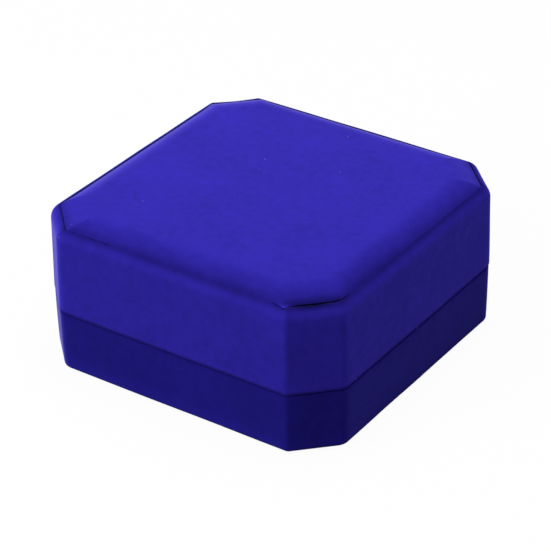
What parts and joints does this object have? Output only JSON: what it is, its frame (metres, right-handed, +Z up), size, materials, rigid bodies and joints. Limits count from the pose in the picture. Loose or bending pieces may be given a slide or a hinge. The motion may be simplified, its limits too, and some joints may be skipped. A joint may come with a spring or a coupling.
{
  "type": "jewellery case",
  "caption": "Square velvet jewellery case with cut corners, a padded lid on a rear snap hinge, and a lift-out insert with a bangle pillow inside.",
  "frame": {"origin": "centre of the underside panel, on the surface that the case stands on", "axes": "+Z up; -Y is the front, where the lid opens; +Y is the back, with the hinge; +X is to the right of someone who opens it"},
  "size_m": [0.095, 0.097, 0.046],
  "materials": {
    "velvet": "royal blue short-pile velvet",
    "satin": "ivory satin",
    "wadding": "polyester wadding, hidden",
    "board": "grey board, hidden",
    "moulding": "moulded shell, hidden under its cover",
    "hinge_metal": "nickel-plated steel"
  },
  "bodies": {
    "base": {"base_shell": "moulding", "base_velvet": "velvet", "base_panel": "velvet", "collar_board": "board", "collar_velvet": "velvet", "hinge_base_leaf": "hinge_metal", "hinge_pin": "hinge_metal", "hinge_spring": "hinge_metal", "hinge_base_rivets": "hinge_metal"},
    "insert": {"insert_board": "board", "insert_velvet": "velvet", "pillow_core": "wadding", "pillow_velvet": "velvet"},
    "lid": {"lid_shell": "moulding", "lid_velvet": "velvet", "top_board": "board", "top_wadding": "wadding", "top_velvet": "velvet", "liner_band": "satin", "liner_board": "board", "liner_wadding": "wadding", "liner_satin": "satin", "hinge_lid_leaf": "hinge_metal", "hinge_lid_rivets": "hinge_metal"}
  },
  "joints": [
    {"name": "lid_hinge", "type": "hinge", "parent": "base", "child": "lid", "pos_m": [0, 0.0477, 0.01815], "axis": [-1, 0, 0], "range_deg": [0, 100], "deforming": ["hinge_spring"]},
    {"name": "insert_lift", "type": "slide", "parent": "base", "child": "insert", "axis": [0, 0, 1], "range_m": [0, 0.012]}
  ]
}
